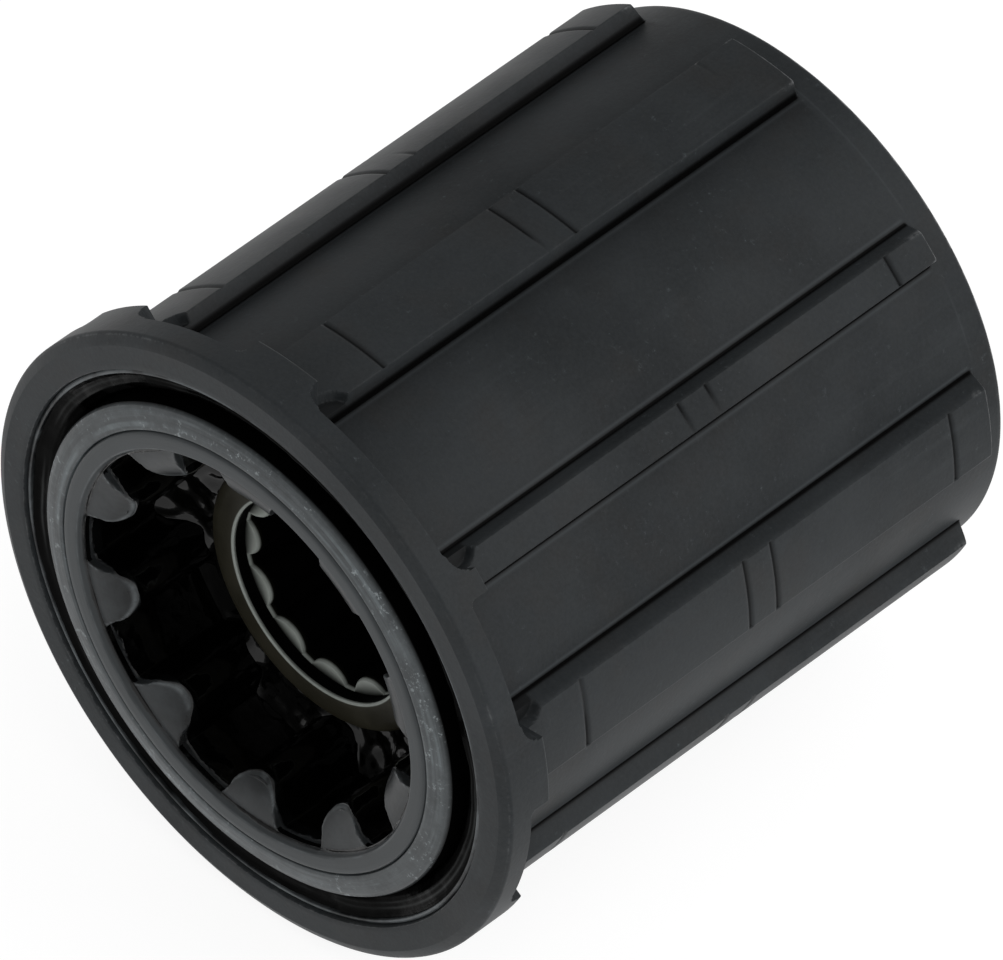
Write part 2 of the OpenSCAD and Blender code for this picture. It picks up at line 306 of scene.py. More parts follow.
class Nodes:
    """Short calls for building a shader."""

    def __init__(self, name):
        self.material = bpy.data.materials.new(name)
        self.material.use_nodes = True
        self.tree = self.material.node_tree
        self.tree.nodes.clear()
        self.out = self.tree.nodes.new("ShaderNodeOutputMaterial")

    def add(self, kind, inputs=None, **settings):
        """A new node with its settings and inputs filled in."""
        node = self.tree.nodes.new(kind)
        for key, value in settings.items():
            setattr(node, key, value)
        for key, value in (inputs or {}).items():
            self.put(node.inputs[key], value)
        return node

    def put(self, socket, value):
        """Link a socket to the input, or set the input's value."""
        if isinstance(value, bpy.types.NodeSocket):
            self.tree.links.new(value, socket)
        else:
            socket.default_value = value

    def place(self):
        """Position in the object's own frame."""
        return self.add("ShaderNodeTexCoord").outputs["Object"]

    def noise(self, scale, detail=4, rough=0.6, stretch=None):
        """Noise fixed to the object, about 0.2 to 0.8; stretch scales each axis."""
        where = self.place()
        if stretch:
            where = self.add("ShaderNodeMapping", {"Vector": where, "Scale": stretch}).outputs[0]
        return self.add("ShaderNodeTexNoise", {"Vector": where, "Scale": scale, "Detail": detail,
                                               "Roughness": rough}).outputs["Fac"]

    def remap(self, value, low, high, to_low=0.0, to_high=1.0):
        """The value moved from one range to another, held at its ends."""
        return self.add("ShaderNodeMapRange", {"Value": value, "From Min": low, "From Max": high,
                                               "To Min": to_low, "To Max": to_high}).outputs[0]

    def math(self, operation, a, b=0.0):
        """The result of one operation on two values."""
        return self.add("ShaderNodeMath", {0: a, 1: b}, operation=operation).outputs[0]

    def mix_colour(self, factor, a, b):
        """Colour a turning into colour b as the factor goes from 0 to 1."""
        node = self.add("ShaderNodeMix", data_type="RGBA")
        self.put(node.inputs[0], factor)
        self.put(node.inputs[6], a)
        self.put(node.inputs[7], b)
        return node.outputs[2]

    def mix_value(self, factor, a, b):
        """Value a turning into value b as the factor goes from 0 to 1."""
        node = self.add("ShaderNodeMix", data_type="FLOAT")
        self.put(node.inputs[0], factor)
        self.put(node.inputs[2], a)
        self.put(node.inputs[3], b)
        return node.outputs[0]

    def attribute(self, name):
        """A paint value stored on the mesh; 0 where there is none."""
        return self.add("ShaderNodeAttribute", attribute_name=name).outputs["Fac"]

    def bump(self, height, distance, strength):
        """A surface direction tilted by a height pattern."""
        return self.add("ShaderNodeBump", {"Height": height, "Distance": distance,
                                           "Strength": strength}).outputs[0]

    def surface(self, **inputs):
        """The finished material, from the shader's input values."""
        shader = self.add("ShaderNodeBsdfPrincipled", {k.replace("_", " "): v for k, v in inputs.items()})
        self.tree.links.new(shader.outputs[0], self.out.inputs[0])
        return self.material


def rgb(r, g, b):
    """An opaque linear colour."""
    return (r, g, b, 1.0)


def steel(name, dark, light, metallic, rough):
    """Plain steel with a cloudy tone and a fine grain."""
    n = Nodes(name)
    cloud = n.noise(160, 5)
    fine = n.noise(2600, 3)
    tone = n.mix_colour(n.remap(cloud, 0.3, 0.7), dark, light)
    roughness = n.remap(cloud, 0.3, 0.7, rough - 0.05, rough + 0.06)
    return n.surface(Base_Color=tone, Metallic=metallic, Roughness=roughness,
                     Normal=n.bump(fine, 0.00002, 0.5))


def carrier_steel():
    """Black phosphated steel: clouded, faint lengthwise marks, dust, rubbed edges, painted shade at the
    ridge roots, pockets and score lines, painted shadow beside each ridge's low side, and painted highlights
    in pale lines beside the roots.
    """
    n = Nodes("carrier_steel")
    cloud = n.noise(110, 6, 0.65)
    smudge = n.remap(n.noise(75, 4, 0.55), 0.47, 0.68, 0.0, 0.5)
    warm = n.remap(n.noise(240, 4), 0.5, 0.7, 0.0, 0.35)
    dust = n.remap(n.noise(1900, 6, 0.8), 0.6, 0.7)
    patch = n.remap(n.noise(150, 3), 0.45, 0.65, 0.15, 1.0)
    fine = n.noise(3200, 3)
    drawn = n.noise(700, 3, stretch=(1, 0.04, 1))
    tone = n.mix_colour(n.remap(cloud, 0.3, 0.7), rgb(0.0155, 0.0180, 0.0195),
                        rgb(0.0235, 0.0266, 0.0290))
    tone = n.mix_colour(smudge, tone, rgb(0.0110, 0.0125, 0.0135))
    tone = n.mix_colour(warm, tone, rgb(0.0215, 0.0195, 0.0180))
    dusty = n.math("MULTIPLY", n.math("MULTIPLY", dust, patch), 0.4)
    tone = n.mix_colour(dusty, tone, rgb(0.12, 0.14, 0.15))
    # Pale lines: painted highlights beside the ridge roots, and a pale ring near the outboard end
    burr_and_highlight = n.math("MULTIPLY", n.attribute("burr_and_highlight"), 0.5)
    tone = n.mix_colour(burr_and_highlight, tone, rgb(0.055, 0.062, 0.067))
    streak = n.remap(n.noise(1600, 4, 0.7, stretch=(1, 0.05, 1)), 0.5, 0.72)
    rubbed = n.remap(n.noise(95, 5, 0.6), 0.46, 0.68, 0.0, 0.14)
    tone = n.mix_colour(n.math("MULTIPLY", streak, rubbed), tone, rgb(0.062, 0.070, 0.075))
    grain = n.remap(n.noise(4600, 3, 0.7), 0.35, 0.65, 0.0, 0.16)
    tone = n.mix_colour(grain, tone, rgb(0.045, 0.050, 0.053))
    spots = n.remap(n.noise(1500, 5, 0.75), 0.44, 0.62)
    rub = n.math("MINIMUM", n.math("MULTIPLY", n.attribute("edge"), spots), 1.0)
    tone = n.mix_colour(rub, tone, rgb(0.16, 0.165, 0.17))
    # Painted shade from the root value: ridge roots, pockets and score lines go black
    shade = n.remap(n.attribute("root"), 0.0, 0.6, 0.0, 0.6)
    tone = n.mix_colour(shade, tone, rgb(0.004, 0.004, 0.004))
    # Painted shadow beside each ridge's low side, from the film value
    tone = n.mix_colour(n.attribute("film"), tone, rgb(0.003, 0.003, 0.003))
    root = n.remap(n.attribute("root"), 0.35, 0.75)
    tone = n.mix_colour(root, tone, rgb(0.0015, 0.0015, 0.0015))
    rough = n.mix_value(rub, n.remap(cloud, 0.3, 0.7, 0.43, 0.52), 0.4)
    shine = n.mix_value(root, n.mix_value(rub, n.remap(smudge, 0.0, 0.5, 0.14, 0.09), 0.4), 0.03)
    shine = n.mix_value(n.attribute("film"), shine, 0.02)
    height = n.math("ADD", n.math("MULTIPLY", fine, 0.6), n.math("MULTIPLY", drawn, 0.4))
    return n.surface(Base_Color=tone, Roughness=rough, Specular_IOR_Level=shine,
                     Normal=n.bump(height, 0.00003, 0.6))


def around(n, place, across, along):
    """Noise drawn out round the spin axis, as turning or polishing leaves it."""
    x, y, z = n.add("ShaderNodeSeparateXYZ", {0: place}).outputs
    square = n.math("ADD", n.math("MULTIPLY", x, x), n.math("MULTIPLY", z, z))
    radius = n.math("MULTIPLY", n.math("SQRT", square), across)
    angle = n.math("MULTIPLY", n.math("ARCTAN2", z, x), along)
    height = n.math("MULTIPLY", y, across)
    polar = n.add("ShaderNodeCombineXYZ", {0: radius, 1: angle, 2: height}).outputs[0]
    return n.add("ShaderNodeTexNoise", {"Vector": polar, "Scale": 1.0, "Detail": 4.0}).outputs["Fac"]


def inner_steel():
    """Ground black steel, with painted highlights on the lobes' rims and the socket mouth, oily on the
    lobes, with black grease deeper in.
    """
    n = Nodes("inner_steel")
    place = n.place()
    cloud = n.noise(260, 6, 0.65)
    brushed = around(n, place, 5000.0, 4.0)
    wet = n.math("ADD", n.attribute("grease"), n.remap(n.noise(420, 4), 0.3, 0.7, -0.3, 0.3))
    grease = n.remap(wet, 0.42, 0.62)
    oil = n.math("MULTIPLY", n.attribute("oil"), n.remap(n.noise(300, 5, 0.7), 0.36, 0.62, 0.35, 1.0))
    tone = n.mix_colour(n.remap(cloud, 0.3, 0.7), rgb(0.030, 0.034, 0.036), rgb(0.044, 0.049, 0.052))
    tone = n.mix_colour(oil, tone, rgb(0.0125, 0.0130, 0.0135))
    tone = n.mix_colour(grease, tone, rgb(0.0006, 0.0006, 0.0006))
    # Painted highlight along the lobes' tip rims and the socket mouth, from the rim value
    rim_highlight = n.math("MULTIPLY", n.attribute("rim"), n.remap(n.noise(500, 4), 0.4, 0.6))
    tone = n.mix_colour(rim_highlight, tone, rgb(0.10, 0.11, 0.115))
    rough = n.mix_value(grease, n.mix_value(oil, n.remap(cloud, 0.3, 0.7, 0.36, 0.48), 0.26), 0.1)
    lumps = n.math("MULTIPLY", n.attribute("oil"), n.noise(420, 3))
    height = n.math("ADD", n.math("MULTIPLY", brushed, 0.05), n.math("MULTIPLY", lumps, 0.35))
    height = n.mix_value(grease, height, n.noise(260, 3))
    shine = n.mix_value(grease, n.mix_value(oil, 0.2, 0.16), 0.3)
    return n.surface(Base_Color=tone, Roughness=rough, Specular_IOR_Level=shine,
                     Normal=n.bump(height, 0.0003, 0.6))


def ring_steel():
    """Ground ring: mottled, brushed round its axis, lighter bluish bands painted as the sheen of the
    brushing, painted shade, near black, down its side.
    """
    n = Nodes("ring_steel")
    place = n.place()
    brushed = around(n, place, 7000.0, 3.0)
    bands = around(n, place, 2600.0, 0.8)
    cloud = n.noise(650, 6, 0.8)
    patch = n.remap(n.noise(220, 5, 0.7), 0.4, 0.6)
    tone = n.mix_colour(n.remap(cloud, 0.3, 0.7), rgb(0.026, 0.030, 0.032), rgb(0.058, 0.066, 0.070))
    # Painted sheen: lighter bluish bands round the ring, standing in for the brushed finish's highlights
    light = n.math("MULTIPLY", n.remap(bands, 0.5, 0.68), n.math("MULTIPLY", patch, 0.55))
    tone = n.mix_colour(light, tone, rgb(0.15, 0.175, 0.185))
    tone = n.mix_colour(n.remap(bands, 0.42, 0.32, 0.0, 0.4), tone, rgb(0.014, 0.015, 0.016))
    flecks = n.math("MULTIPLY", n.remap(n.noise(2600, 3, 0.8), 0.58, 0.66),
                    n.remap(n.noise(260, 3), 0.45, 0.6))
    tone = n.mix_colour(n.math("MULTIPLY", flecks, 0.7), tone, rgb(0.24, 0.27, 0.28))
    # Painted shade, near black, down the ring's side in the gap, from the grease value
    grease = n.attribute("grease")
    tone = n.mix_colour(grease, tone, rgb(0.0006, 0.0006, 0.0006))
    rough = n.mix_value(grease, n.remap(brushed, 0.3, 0.7, 0.3, 0.46), 0.3)
    return n.surface(Base_Color=tone, Roughness=rough, Specular_IOR_Level=n.mix_value(grease, 0.25, 0.05),
                     Normal=n.bump(n.math("ADD", brushed, cloud), 0.00002, 0.6))


def seal_steel():
    """Thin pressed steel, mostly under dark grime."""
    n = Nodes("seal_steel")
    cloud = n.noise(320, 5)
    grime = n.remap(n.noise(200, 5), 0.3, 0.6)
    tone = n.mix_colour(grime, rgb(0.014, 0.015, 0.016), rgb(0.002, 0.002, 0.002))
    return n.surface(Base_Color=tone, Roughness=n.remap(cloud, 0.3, 0.7, 0.3, 0.5),
                     Specular_IOR_Level=n.mix_value(grime, 0.2, 0.04), Normal=n.bump(cloud, 0.00004, 0.5))


def case_steel():
    """Pressed case of the inboard seal: a painted highlight on its front edge, painted shade, near black, on
    the rest down in the recess.
    """
    n = Nodes("case_steel")
    cloud = n.noise(300, 5)
    # Painted highlight on the case's front edge
    rubbed = n.mix_colour(n.remap(cloud, 0.42, 0.6), rgb(0.012, 0.013, 0.014), rgb(0.085, 0.095, 0.10))
    # Painted shade, near black, on the case down in the recess, from the grease value
    tone = n.mix_colour(n.attribute("grease"), rubbed, rgb(0.0015, 0.0015, 0.0015))
    return n.surface(Base_Color=tone, Roughness=n.remap(cloud, 0.3, 0.7, 0.3, 0.5),
                     Specular_IOR_Level=n.mix_value(n.attribute("grease"), 0.25, 0.03),
                     Normal=n.bump(cloud, 0.00003, 0.5))


def bolt_steel():
    """Olive plated steel; pale grey-green on the drive's front faces, a painted highlight on the front
    face's inner rim, and painted shade, near black, further into the drive.
    """
    n = Nodes("bolt_steel")
    cloud = n.noise(420, 5)
    fine = n.noise(2400, 3)
    olive = n.mix_colour(n.remap(cloud, 0.3, 0.7), rgb(0.011, 0.0100, 0.0060), rgb(0.019, 0.0175, 0.011))
    pale = n.mix_colour(n.remap(cloud, 0.3, 0.7), rgb(0.17, 0.185, 0.17), rgb(0.27, 0.29, 0.27))
    # Painted shade, near black, down the bore, from the bore value
    inside = n.mix_colour(n.attribute("bore"), olive, rgb(0.001, 0.001, 0.001))
    # Pale front faces of the drive, and the painted highlight on the inner rim
    tone = n.mix_colour(n.attribute("face"), inside, pale)
    return n.surface(Base_Color=tone, Roughness=n.remap(cloud, 0.3, 0.7, 0.34, 0.5),
                     Specular_IOR_Level=n.mix_value(n.attribute("bore"), 0.15, 0.02),
                     Normal=n.bump(fine, 0.00002, 0.5))


def ball_steel():
    """Polished steel under a thin, uneven film of grease."""
    n = Nodes("ball_steel")
    film = n.noise(600, 4)
    return n.surface(Base_Color=n.mix_colour(film, rgb(0.5, 0.5, 0.51), rgb(0.32, 0.31, 0.28)),
                     Metallic=1.0, Roughness=n.remap(film, 0.3, 0.7, 0.08, 0.2),
                     Normal=n.bump(film, 0.00001, 0.3))


def grease_look():
    """Thick, wet black grease."""
    n = Nodes("black_grease")
    lumps = n.noise(240, 3)
    tone = n.mix_colour(lumps, rgb(0.0005, 0.0005, 0.0005), rgb(0.002, 0.002, 0.0017))
    return n.surface(Base_Color=tone,
                     Roughness=n.remap(lumps, 0.3, 0.7, 0.06, 0.14), Specular_IOR_Level=0.3,
                     Normal=n.bump(lumps, 0.0003, 0.5))


def rubber_look(name="seal_rubber", shine=0.12):
    """Black rubber, wet with grease in places, with a painted highlight where the line value says so."""
    n = Nodes(name)
    wet = n.remap(n.noise(300, 5), 0.5, 0.62)
    grain = n.noise(2200, 4)
    tone = n.mix_colour(wet, rgb(0.004, 0.004, 0.004), rgb(0.001, 0.001, 0.001))
    # Painted highlight from the line value
    tone = n.mix_colour(n.attribute("line"), tone, rgb(0.04, 0.042, 0.042))
    return n.surface(Base_Color=tone, Roughness=n.mix_value(wet, 0.5, 0.16),
                     Specular_IOR_Level=n.mix_value(wet, shine, 2.2 * shine),
                     Normal=n.bump(grain, 0.00006, 0.5))


# ---------------------------------------------------------------- sprocket carrier

def ridge_edges(i):
    """Root edges of ridge i, in degrees from +X towards +Z."""
    low = FIRST_RIDGE + i * 360 / RIDGE_COUNT - CREST_DEG / 2
    high = low + (NARROW_DEG if i == NARROW else CREST_DEG)
    return low - FLANK_LOW, high + FLANK_HIGH


def carrier_angles():
    """Column angles, close together round every ridge edge."""
    found = [np.arange(0, 360, 1.0)]
    to_deg = 180 / math.pi / UNROLL_R
    near = {1: (spaced(-0.45, 0.6, 0.055), spaced(-1.6, -0.5, 0.13), spaced(0.7, 1.4, 0.13)),
            -1: (spaced(-0.45, 0.85, 0.06), spaced(-1.6, -0.5, 0.13), spaced(0.95, 1.7, 0.13))}
    for i in range(RIDGE_COUNT):
        low, high = ridge_edges(i)
        for edge, inward in ((low, 1), (high, -1)):
            found.append(edge + inward * np.concatenate(near[inward]) * to_deg)
    angles = np.unique(np.round(np.concatenate(found) % 360, 4))
    keep = np.concatenate([[True], np.diff(angles) > 0.11])
    return np.radians(angles[keep])


def carrier_outside(angles, y):
    """Outside radius of the carrier over a grid of distances and angles, and its paint values.

    The paint values are edge (rubbed bright, with a faint painted highlight along the flange's back edge),
    root (painted shade, black, in the ridge roots, relief pockets and score lines; it also deepens a shallow
    root groove), burr (a pale line, mostly a painted highlight beside each root) and film (painted shadow
    beside each ridge's low side).
    """
    th, yy = np.meshgrid(angles, y)
    ridge = np.full(th.shape, -9.0)
    tab = np.full(th.shape, -9.0)
    root = np.zeros(th.shape)
    burr_and_highlight = np.zeros(th.shape)
    film = np.zeros(th.shape)
    for i in range(RIDGE_COUNT):
        low, high = ridge_edges(i)
        half = math.radians(high - low) / 2 * UNROLL_R
        away = (th - math.radians(low + high) / 2 + math.pi) % TURN - math.pi
        t = np.abs(away) * UNROLL_R
        pocket = np.hypot(t - half - POCKET_OUT, yy - POCKET_Y) - POCKET_R
        pocket = np.where((away > 0) == (i in HIGH_POCKETS), pocket, 9)
        flank = np.radians(np.where(away > 0, FLANK_HIGH, FLANK_LOW + FLANK_ROUND)) * UNROLL_R
        lean = (half - t) / flank
        end = (RIDGE_END + 0.15 - yy) / END_BREAK
        floor = 0.5 + 0.5 * smooth_step(pocket / 0.22)
        ridge = np.maximum(ridge, np.minimum(soft_min(lean, end, 0.35), np.where(pocket < 0.25, floor, 9)))
        tab = np.maximum(tab, np.minimum(np.minimum(half - t, TAB_BACK - yy), pocket))
        # Painted shade: the root value blackens each ridge's root and the hollow of its relief pocket, where
        # shade gathers; it also cuts a shallow root groove.
        groove = np.exp(-((t - half - 0.01) / 0.13) ** 2) * smooth_step(end + 0.2)
        hollow = smooth_step((0.15 - pocket) / 0.25) * (t < half + 0.03) * (yy > FLANGE_BACK + 0.05)
        root = np.maximum(root, np.maximum(groove, 0.5 * hollow))
        # Painted shadow: the valley beside each ridge's low side is darkened as if the ridge shaded it; kept
        # in the film value
        beside = np.exp(-np.clip(t - half, 0, None) / LOW_SIDE_SHADE_SPREAD[i]) * (t > half - 0.1) * (away < 0)
        film = np.maximum(film, beside * LOW_SIDE_SHADE_DEPTH[i] * smooth_step(end))
        # Painted highlight: a pale line 0.3 mm out from each ridge root, standing in for light caught beside
        # the root
        burr_and_highlight = np.maximum(burr_and_highlight, np.exp(-((t - half - 0.3) / 0.09) ** 2) * smooth_step(end / 1.5))
    crest = 0.45 * smooth_step(ridge) + 0.55 * np.clip(ridge, 0, 1)
    height = crest * (CREST_R - VALLEY_R) - ROOT_DEPTH * smooth_step((root - 0.5) * 2)
    patchy = smooth_step(1.2 + 1.3 * wave_noise(th * 6, yy * 0.3, 0 * th, 5, 2, 0.2))
    scored = sum(np.exp(-((yy - y0) / SCORE_W) ** 2) for y0 in SCORES) * patchy * (ridge > 0.99)
    height = height - SCORE_DEPTH * scored
    # Painted shade in the score lines.
    root = np.maximum(root, 0.6 * scored)
    wall = soft_max(FLANGE_BACK - yy, tab, 0.5) / 0.14
    rim = smooth_step(wall * 0.8) * (FLANGE_R - VALLEY_R)
    radius = VALLEY_R + soft_max(height, rim, 0.05)
    edge = np.exp(-((ridge - 0.97) / 0.14) ** 2) * (rim < 0.3) * np.clip(yy - 36.6, 0.04, 0.75)
    # Painted highlight: a faint rubbed-bright line along the flange's back edge, where its rounded edge
    # catches light
    edge = np.maximum(edge, np.exp(-((wall - 1.15) / 0.35) ** 2) * 0.08)
    ring = np.exp(-((yy - 38.1) / 0.06) ** 2) * (height < 0.05)
    burr_and_highlight = np.maximum(burr_and_highlight, 0.5 * ring * smooth_step(0.6 + wave_noise(th * 4, 0 * yy, 0 * th, 9, 2, 0.3)))
    off_flange = rim < 0.3
    return radius, {"edge": edge, "root": root * off_flange, "burr_and_highlight": burr_and_highlight * off_flange,
                    "film": film * off_flange}


def saw_radius(angles):
    """Radius of the ratchet teeth: a steep face, a root, then a ramp down to the tip."""
    phase = (np.degrees(angles) - TOOTH_FACE) % (360 / TOOTH_COUNT)
    ramp = np.clip((phase - TOOTH_RAMP_START) / TOOTH_RAMP, 0, 1)
    return TOOTH_ROOT + (TOOTH_TIP - TOOTH_ROOT) * ramp


def race_arc(centre_y, start_deg, end_deg):
    """Points of a ball groove, angles measured from outwards towards +Y."""
    a = np.radians(spaced(start_deg, end_deg, 15))
    return [(BALL_RING + GROOVE * math.cos(x), centre_y + GROOVE * math.sin(x)) for x in a]


def add_flange_front(shell):
    """The front face of the flange and its bevel, nicked here and there along the edge."""
    for r in spaced(RECESS_R + 0.1, FLANGE_R - BEVEL_W - 0.04, 0.3):
        shell.row(r, FLANGE_FRONT)
    x, z = np.cos(shell.angles) * 3, np.sin(shell.angles) * 3
    nicks = smooth_step(0.3 + 1.2 * wave_noise(x, z, 0 * x, 3, 4, 0.8))
    bevel = ((-0.64, 0, 0.02), (-0.58, 0.02, 0.04), (-0.4, 0.11, 0.02), (-0.17, 0.235, 0.05),
             (-0.11, 0.275, 0.3), (-0.07, 0.31, 0.12), (-0.04, 0.34, 0.05), (0, 0.42, 0.02))
    for out, back, edge in bevel:
        shell.row(FLANGE_R + out, FLANGE_FRONT + back, edge=edge * (0.2 + 0.8 * nicks))


def add_ridges(shell):
    """The flange rim, the ridges and the broken edge at the outboard end."""
    flange = [[FLANGE_FRONT + 0.5], spaced(1.15, 1.95, 0.25), spaced(2.05, 5.2, 0.07)]
    plain = [spaced(a, b, 0.7) for a, b in ((5.6, 7.4), (8.3, 19.3), (22.3, 34.6), (35.6, 37.2))]
    scored = [spaced(s - 0.36, s + 0.36, 0.06) for s in SCORES]
    end = [spaced(37.4, 38.4, 0.06), spaced(38.5, 39.4, 0.2)]
    y = np.unique(np.round(np.concatenate(flange + plain + scored + end), 3))
    radius, paint = carrier_outside(shell.angles, y)
    for k, at in enumerate(y):
        shell.row(radius[k], at, **{name: grid[k] for name, grid in paint.items()})
    shell.row(VALLEY_R - 0.01, CARRIER_END - EDGE_BREAK - 0.03, edge=0.3)
    shell.row(VALLEY_R - 0.04, CARRIER_END - EDGE_BREAK + 0.03, edge=0.8)
    shell.row(VALLEY_R - EDGE_BREAK + 0.01, CARRIER_END - 0.02, edge=0.6)
    shell.row(VALLEY_R - EDGE_BREAK - 0.05, CARRIER_END, edge=0.3)
    shell.row(THREAD_MAJOR + 0.1, CARRIER_END)


def add_thread(shell):
    """The thread inside the outboard end: one turn to the millimetre, with a chamfered mouth."""
    for depth in spaced(0.05, CARRIER_END - THREAD_START, 0.1):
        at = CARRIER_END - depth
        twist = (at + shell.angles / TURN) % 1.0
        cut = np.clip(1.15 - np.abs(twist - 0.5) * 3.2, 0, 1) * (THREAD_MAJOR - THREAD_MINOR)
        shell.row(np.maximum(THREAD_MINOR + cut, THREAD_MAJOR + 0.1 - depth * 1.1), at)


def add_carrier_bore(shell):
    """The bore from the thread back to the recess in the flange, with both races and the teeth."""
    shell.row(RELIEF_R, THREAD_START - 0.1)
    shell.row(RELIEF_R, ROW_OUT + 2.3)
    shell.row(BALL_RING + GROOVE, ROW_OUT + 2)
    for r, at in race_arc(ROW_OUT, 0, -75):
        shell.row(max(r, BORE_R), at)
    shell.row(BORE_R, TOOTH_END + 0.3)
    shell.row(BORE_R, TOOTH_END + 0.05)
    saw = saw_radius(shell.angles)
    for at in (TOOTH_END, (TOOTH_START + TOOTH_END) / 2, TOOTH_START):
        shell.row(saw, at)
    shell.row(BORE_R, TOOTH_START - 0.05)
    for r, at in race_arc(ROW_IN, 75, 0):
        shell.row(max(r, BORE_R), at)
    shell.row(BALL_RING + GROOVE, ROW_IN - 2.1)
    shell.row(THROAT_R, ROW_IN - 2.6)
    shell.row(THROAT_R, 5.0)
    shell.row(THROAT_R, RECESS_FLOOR)
    shell.row(RECESS_R, RECESS_FLOOR)
    shell.row(RECESS_R, FLANGE_FRONT + 0.14)
    shell.row(RECESS_R + 0.05, FLANGE_FRONT + 0.02, edge=0.3)


def make_carrier():
    """The sprocket carrier, from the flange round the outside and back through the bore."""
    shell = Shell(carrier_angles(), "edge", "root", "burr_and_highlight", "film")
    add_flange_front(shell)
    add_ridges(shell)
    add_thread(shell)
    add_carrier_bore(shell)
    stand_for(shell.mesh("carrier_shell", 38), "carrier", "cassette_carrier",
              carrier_steel())


# ---------------------------------------------------------------- inner body

def socket_radius(angles, y):
    """Inside radius of the hub socket: round lobes whose fronts slope in behind the edge."""
    th, yy = np.meshgrid(angles, y)
    pitch = TURN / LOBE_COUNT
    off = (th % pitch) - pitch / 2
    centre = LOBE_TIP + LOBE_R
    side = np.abs(centre * np.sin(off))
    round_part = centre * np.cos(off) - np.sqrt(np.clip(LOBE_R ** 2 - side ** 2, 0, None))
    lobe = np.where(side < LOBE_R, round_part, centre * np.cos(off) + 3 * (side - LOBE_R))
    full = soft_min(lobe, SOCKET_R + 0 * th, 0.35)
    share = np.clip((yy - NOSE_START) / NOSE_LENGTH, 0, 1)
    nose = SOCKET_R + 0.02 - NOSE_DEPTH * np.sqrt(1 - (1 - share) ** 2)
    front = np.where(yy < NOSE_START, SOCKET_R + MOUTH_FLARE - MOUTH_SLOPE * yy, nose)
    return soft_max(full, front, 0.25)


def seat_radius(angles):
    """Outside radius of the inner body at the pawls: a round seat and a sloping floor for each."""
    radius = np.full(angles.shape, BODY_R)
    for k in range(PAWL_COUNT):
        turn = (math.radians(PAWL_FIRST + 360 / PAWL_COUNT * k) - angles + math.pi) % TURN - math.pi
        deg = np.degrees(turn)
        reach = PAWL_ROOT_R ** 2 - (PAWL_R * np.sin(turn)) ** 2
        seat = PAWL_R * np.cos(turn) - np.sqrt(np.clip(reach, 0, None))
        radius = np.where(np.abs(deg) < SEAT_DEG, np.minimum(radius, seat), radius)
        floor = (FLOOR_POINT[1] - FLOOR_SLOPE * FLOOR_POINT[0]) / (np.sin(turn) - FLOOR_SLOPE * np.cos(turn))
        on_floor = (deg > FLOOR_DEG[0]) & (deg < FLOOR_DEG[1])
        radius = np.where(on_floor, np.minimum(radius, floor), radius)
    return radius


def add_socket(shell):
    """The hub's socket, from its greased floor out between the lobes to the mouth."""
    floor = socket_radius(shell.angles, np.array([SOCKET_FLOOR]))[0]
    for f in spaced(0, 1, 0.12):
        shell.row(BOLT_HOLE + (floor - BOLT_HOLE) * f, SOCKET_FLOOR, grease=1.0)
    depth = np.concatenate([spaced(7.5, 2.6, 0.4), spaced(2.5, 1.8, 0.1), spaced(1.74, 0.54, 0.06),
                            spaced(0.5, 0.4, 0.01), spaced(0.36, 0.06, 0.06)])
    for r, y in zip(socket_radius(shell.angles, depth), depth):
        petal = smooth_step((r - floor - 0.1) / 0.9)
        # Painted shade: a black line between the lobes where they meet the face, carried in the grease value
        seam_shade = 0.9 * np.exp(-((r - SOCKET_R + 0.03) / 0.13) ** 2) * (0.22 < y < 0.7)
        grease = np.clip((y - 0.5 - 1.7 * petal) * 1.3, 0, 1)
        # Painted highlight on the lobes' tip rims
        rim = np.exp(-((r - floor - 0.2) / 0.1) ** 2) * (0.4 < y < 1.6)
        oil = smooth_step((y - 0.2) / 0.12) * (1 - 0.3 * petal)
        shell.row(r, y, grease=np.maximum(grease, seam_shade) * (1 - rim), oil=oil, rim=rim)
    # Painted highlight on the socket mouth's edge
    shell.row(SOCKET_R + MOUTH_FLARE, 0.04, rim=0.6)
    shell.row(SOCKET_R + 0.3, 0.005, rim=0.3)


def make_inner_body():
    """The inner body, from the socket round its front and outside and back through the bore."""
    shell = Shell(np.linspace(0, TURN, 720, endpoint=False), "grease", "oil", "rim")
    add_socket(shell)
    for r in spaced(SOCKET_R + 0.34, RIM_R - 0.2, 0.25):
        shell.row(r, 0.0)
    for r, y in ((RIM_R - 0.12, 0.03), (RIM_R - 0.03, 0.14), (RIM_R, 0.3), (RIM_R, RING_BACK),
                 (SHOULDER_R, RING_BACK), (SHOULDER_R, 8), (BALL_RING, 9)):
        shell.row(r, y)
    for a in np.radians(spaced(-90, 59, 15)):
        shell.row(min(BALL_RING, BALL_RING - GROOVE * math.cos(a)), ROW_IN + GROOVE * math.sin(a))
    shell.row(BODY_R, ROW_IN + 1.43)
    shell.row(BODY_R, SEAT_START - 0.01)
    seats = seat_radius(shell.angles)
    for y in (SEAT_START, (SEAT_START + SEAT_END) / 2, SEAT_END):
        shell.row(seats, y)
    for r, y in ((BODY_R, SEAT_END + 0.01), (BODY_R, BODY_END - 0.2), (BODY_R - 0.2, BODY_END),
                 (10.8, BODY_END), (BODY_BORE, 25.5), (BODY_BORE, 21.7), (CUP_BORE, 21.6),
                 (CUP_BORE, 10.4), (BOLT_HOLE, 10.35)):
        shell.row(r, y)
    stand_for(shell.mesh("inner_body_shell", 35), "inner_body", "pawl_carrier",
              inner_steel())


